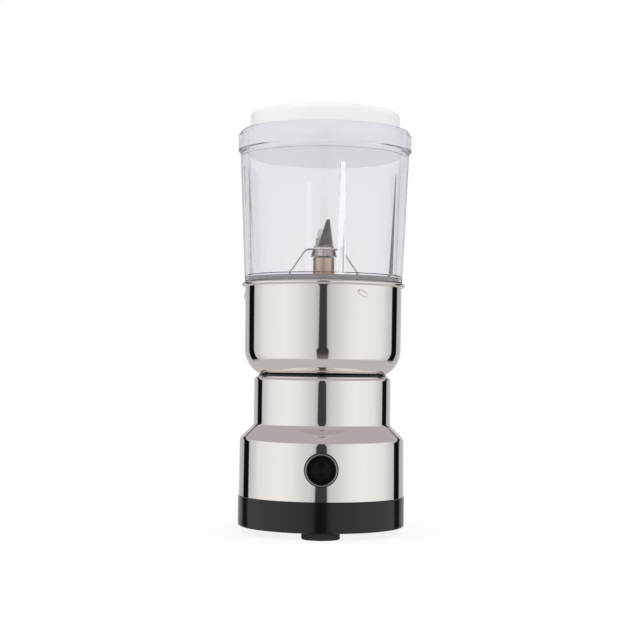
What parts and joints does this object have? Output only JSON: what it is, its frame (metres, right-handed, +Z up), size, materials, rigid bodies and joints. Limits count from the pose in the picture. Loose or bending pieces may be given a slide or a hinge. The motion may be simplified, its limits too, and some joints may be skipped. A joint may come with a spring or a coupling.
{
  "type": "blender with grinder",
  "caption": "Countertop blender and grinder: polished steel base with a push button, lift-off steel bowl with upright and drooping blades, clear twist-in jar and white plug-in cap.",
  "frame": {"origin": "on the vertical axis, at the table under the feet", "axes": "+Z up along the axis of base, bowl and jar; the push button faces -Y; +X is to the right seen from the front"},
  "size_m": [0.1096, 0.1096, 0.2636],
  "materials": {
    "polished_steel": "mirror-polished stainless sheet",
    "black_plastic": "glossy moulded black",
    "button_black": "glossy moulded black",
    "frame_plastic": "moulded",
    "foot_rubber": "matt",
    "gasket_silicone": "satin silicone",
    "clear_plastic": "clear moulded, faint violet tint",
    "white_plastic": "satin, slightly translucent",
    "blade_steel": "ground and hardened",
    "bronze": "turned bronze",
    "plain_steel": "plain",
    "coupling_nylon": "moulded",
    "lamination_steel": "stacked sheet",
    "copper": "enamelled winding",
    "phenolic": "pressed board",
    "carbon": "pressed carbon",
    "lead_insulation": "insulated wire"
  },
  "bodies": {
    "base": {"foot_front": "foot_rubber", "foot_left": "foot_rubber", "foot_right": "foot_rubber", "base_ring": "black_plastic", "bottom_cover": "black_plastic", "cover_screws": "plain_steel", "base_shell": "polished_steel", "motor_frame": "frame_plastic", "bowl_seat": "black_plastic", "seat_screws": "plain_steel", "button_bezel": "button_black", "switch_nut": "button_black", "terminal_plate": "phenolic", "switch_terminals": "bronze", "button_spring": "plain_steel", "cord_gland": "foot_rubber", "lead_wires": "lead_insulation", "stator_core": "lamination_steel", "field_coil_front": "copper", "field_coil_rear": "copper", "upper_bracket": "plain_steel", "lower_bracket": "plain_steel", "upper_bearing": "bronze", "lower_bearing": "bronze", "motor_bolts": "plain_steel", "brush_plate": "phenolic", "brush_holder_right": "phenolic", "brush_holder_left": "phenolic", "brush_right": "carbon", "brush_left": "carbon"},
    "rotor": {"motor_shaft": "plain_steel", "armature_core": "lamination_steel", "armature_windings": "copper", "commutator": "copper", "cooling_fan": "frame_plastic", "drive_coupling": "coupling_nylon"},
    "button": {"push_button": "button_black", "contact_bridge": "bronze"},
    "bowl": {"grinding_bowl": "polished_steel", "lock_lugs": "polished_steel", "bearing_tower": "bronze", "tower_nut": "plain_steel", "bowl_socket": "black_plastic", "upper_bush": "bronze", "lower_bush": "bronze", "shaft_seal": "foot_rubber"},
    "blades": {"blade_shaft": "plain_steel", "driven_coupling": "coupling_nylon", "blade_collar": "blade_steel", "lower_blade": "blade_steel", "blade_spacer": "blade_steel", "upper_blade": "blade_steel", "blade_nut": "blade_steel"},
    "jar_seal": {"jar_gasket": "gasket_silicone"},
    "jar": {"clear_jar": "clear_plastic"},
    "cap": {"jar_cap": "white_plastic"}
  },
  "joints": [
    {"name": "motor_spin", "type": "hinge", "parent": "base", "child": "rotor", "pos_m": [0, 0, 0.06], "axis": [0, 0, 1], "continuous": true},
    {"name": "button_press", "type": "slide", "parent": "base", "child": "button", "axis": [0, 1, 0], "range_m": [0, 0.003], "stiffness_N_per_m": 600, "springref_m": -0.002, "deforming": ["button_spring"]},
    {"name": "bowl_lift", "type": "slide", "parent": "base", "child": "bowl", "axis": [0, 0, 1], "range_m": [0, 0.06]},
    {"name": "blade_spin", "type": "hinge", "parent": "bowl", "child": "blades", "pos_m": [0, 0, 0.15], "axis": [0, 0, 1], "continuous": true},
    {"name": "jar_twist", "type": "hinge", "parent": "bowl", "child": "jar_seal", "pos_m": [0, 0, 0.16], "axis": [0, 0, 1], "range_deg": [0, 25]},
    {"name": "jar_lift", "type": "slide", "parent": "jar_seal", "child": "jar", "axis": [0, 0, 1], "range_m": [0, 0.07]},
    {"name": "cap_lift", "type": "slide", "parent": "jar", "child": "cap", "axis": [0, 0, 1], "range_m": [0, 0.04]}
  ],
  "couplings": [
    {"joint": "blade_spin", "follows": "motor_spin", "ratio": 1}
  ]
}
